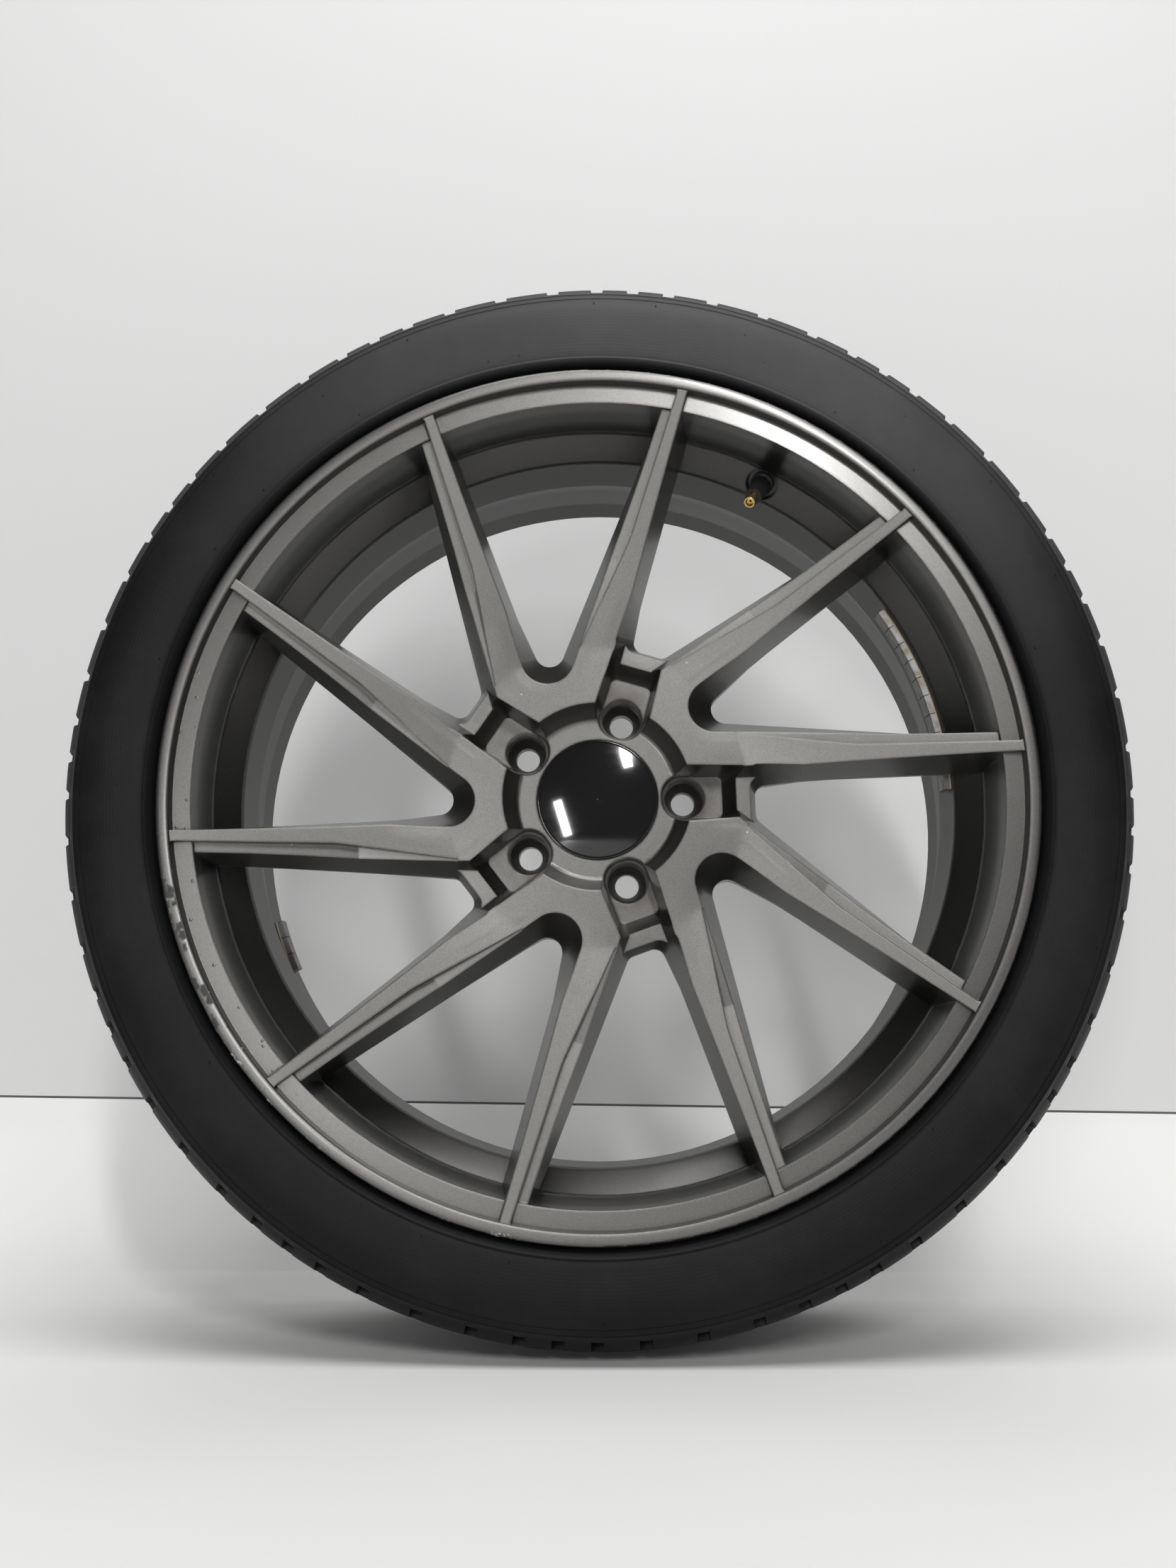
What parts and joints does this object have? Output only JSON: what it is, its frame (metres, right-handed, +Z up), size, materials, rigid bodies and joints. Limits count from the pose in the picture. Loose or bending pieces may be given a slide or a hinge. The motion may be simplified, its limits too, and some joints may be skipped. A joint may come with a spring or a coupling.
{
  "type": "car wheel and tyre",
  "caption": "Cast alloy car wheel with paired swept spokes and recessed bolt pockets, fitted with a low-profile tubeless tyre, snap-in valve, centre cap and stick-on balance weights.",
  "frame": {"origin": "the wheel's centre: on the spin axis, on the middle plane of the rim", "axes": "+Y along the spin axis towards the vehicle (the outer face looks along -Y), +Z up, +X to the right seen from the front"},
  "size_m": [0.6794, 0.2484, 0.6794],
  "materials": {
    "alloy_paint": "gunmetal metallic paint under clear coat on a cast alloy",
    "tyre_rubber": "matt black rubber",
    "cap_plastic": "gloss black",
    "spring_steel": "bright wire",
    "valve_rubber": "satin black",
    "valve_brass": "dull brass",
    "weight_steel": "grey coated steel",
    "foam_tape": "foam tape"
  },
  "bodies": {
    "wheel": {"alloy_wheel": "alloy_paint", "balance_weight_left_01": "weight_steel", "balance_weight_left_02": "weight_steel", "balance_weight_left_03": "weight_steel", "balance_weight_right_01": "weight_steel", "balance_weight_right_02": "weight_steel", "balance_weight_right_03": "weight_steel", "balance_weight_right_04": "weight_steel", "balance_weight_right_05": "weight_steel", "balance_weight_right_06": "weight_steel", "balance_weight_right_07": "weight_steel", "balance_weight_right_08": "weight_steel", "balance_weight_right_09": "weight_steel", "balance_weight_right_10": "weight_steel", "cap_body": "cap_plastic", "cap_disc": "cap_plastic", "cap_spring_ring": "spring_steel", "tyre": "tyre_rubber", "valve_body": "valve_rubber", "valve_core_barrel": "valve_brass", "valve_core_gasket": "valve_rubber", "valve_core_plug": "valve_brass", "valve_core_spring": "spring_steel", "valve_stem": "valve_brass", "weight_tape_left": "foam_tape", "weight_tape_right": "foam_tape"},
    "core_pin": {"valve_core_pin": "valve_brass", "valve_core_seal": "valve_rubber"}
  },
  "joints": [
    {"name": "valve_press", "type": "slide", "parent": "wheel", "child": "core_pin", "axis": [0.3149, 0.7225, 0.6154], "range_m": [0, 0.001], "stiffness_N_per_m": 800, "springref_m": -0.002, "deforming": ["valve_core_spring"]}
  ]
}
